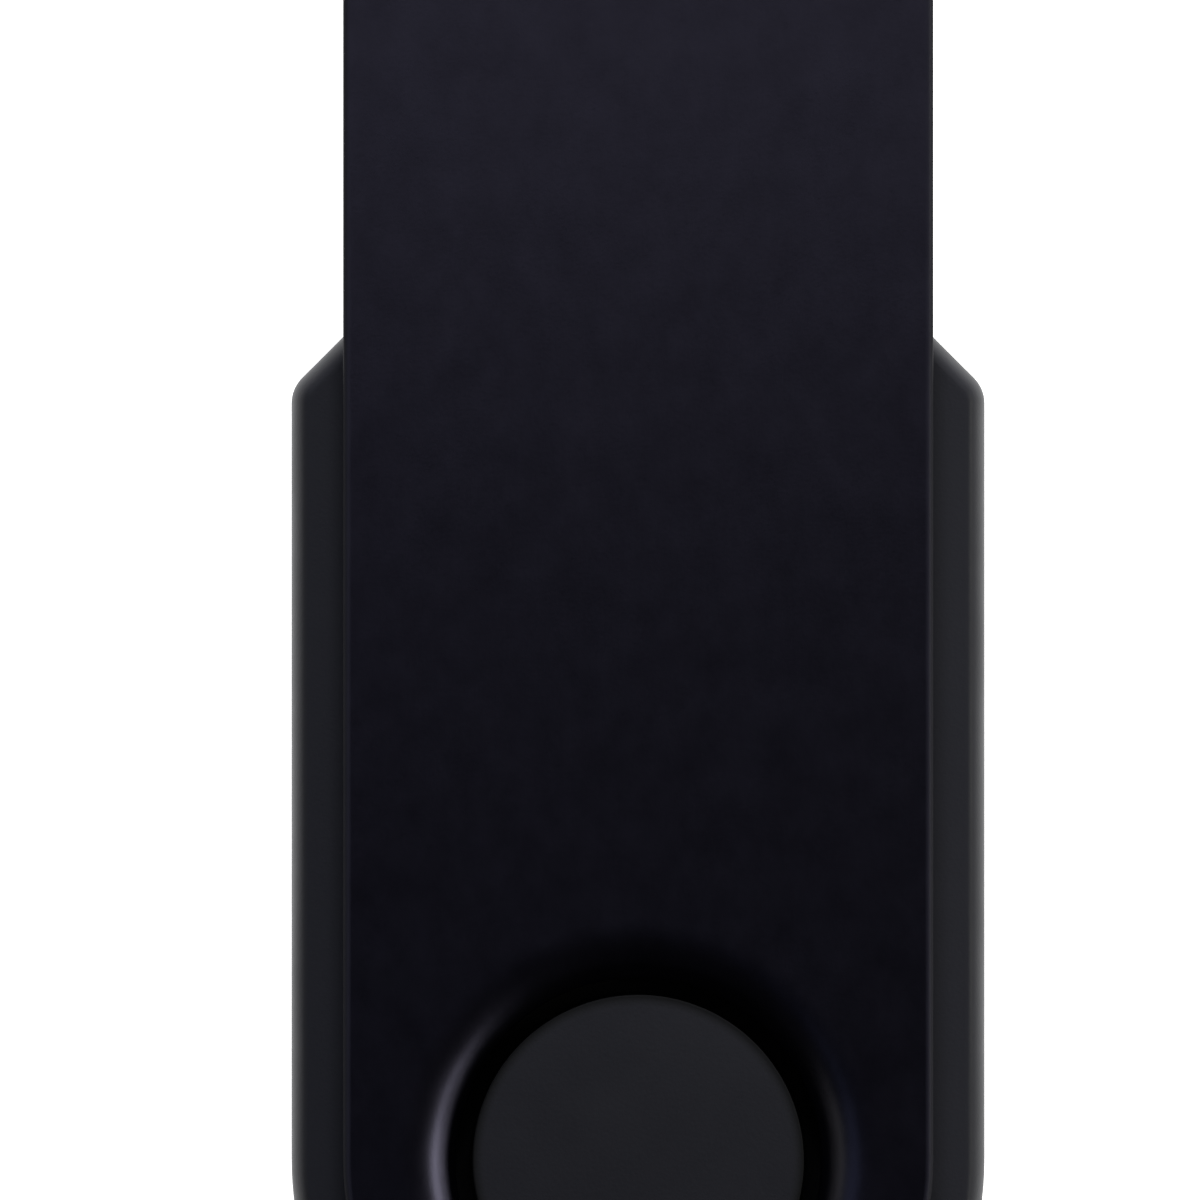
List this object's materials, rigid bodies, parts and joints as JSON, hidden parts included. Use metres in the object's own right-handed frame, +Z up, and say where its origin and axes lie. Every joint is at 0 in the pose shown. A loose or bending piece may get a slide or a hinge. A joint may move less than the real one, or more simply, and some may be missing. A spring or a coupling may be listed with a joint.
{
  "type": "swivel usb flash drive",
  "caption": "Flat plastic memory stick with a folded sheet metal cover that swivels on round bosses to bare or guard its type A plug.",
  "frame": {"origin": "middle of the bounding box's base, on the plane that the drive lies on", "axes": "+Y along the drive from the lanyard loop to the plug, +Z up through the clip's two arms, +X across the drive"},
  "size_m": [0.019, 0.0582, 0.0104],
  "materials": {
    "clip_paint": "fine satin black coating with a faint blue cast over folded steel sheet",
    "case_plastic": "moulded black plastic with a fine spark-eroded texture",
    "plated_steel": "nickel plated steel sheet with fine drawing lines",
    "insulator_plastic": "moulded black insulator",
    "contact_gold": "gold flash over nickel plated copper alloy",
    "board_laminate": "green solder mask on glass fibre laminate",
    "chip_epoxy": "moulded black epoxy packages",
    "crystal_can": "drawn metal can",
    "led_resin": "clear cream resin",
    "capacitor_ceramic": "tan fired ceramic",
    "resistor_film": "black glazed film on a ceramic chip"
  },
  "bodies": {
    "body": {"upper_shell": "case_plastic", "lower_shell": "case_plastic", "plug_shell": "plated_steel", "plug_insulator": "insulator_plastic", "contact_power": "contact_gold", "contact_data_minus": "contact_gold", "contact_data_plus": "contact_gold", "contact_ground": "contact_gold", "circuit_board": "board_laminate", "flash_memory_chip": "chip_epoxy", "controller_chip": "chip_epoxy", "crystal_oscillator": "crystal_can", "activity_led": "led_resin", "capacitor_1": "capacitor_ceramic", "capacitor_2": "capacitor_ceramic", "capacitor_3": "capacitor_ceramic", "capacitor_4": "capacitor_ceramic", "capacitor_5": "capacitor_ceramic", "capacitor_6": "capacitor_ceramic", "capacitor_7": "capacitor_ceramic", "capacitor_8": "capacitor_ceramic", "resistor_1": "resistor_film", "resistor_2": "resistor_film", "resistor_3": "resistor_film", "resistor_4": "resistor_film", "resistor_5": "resistor_film"},
    "clip": {"swivel_clip": "clip_paint"}
  },
  "joints": [
    {"name": "clip_swivel", "type": "hinge", "parent": "body", "child": "clip", "pos_m": [0, -0.01465, 0.0052], "axis": [0, 0, 1], "continuous": true}
  ]
}
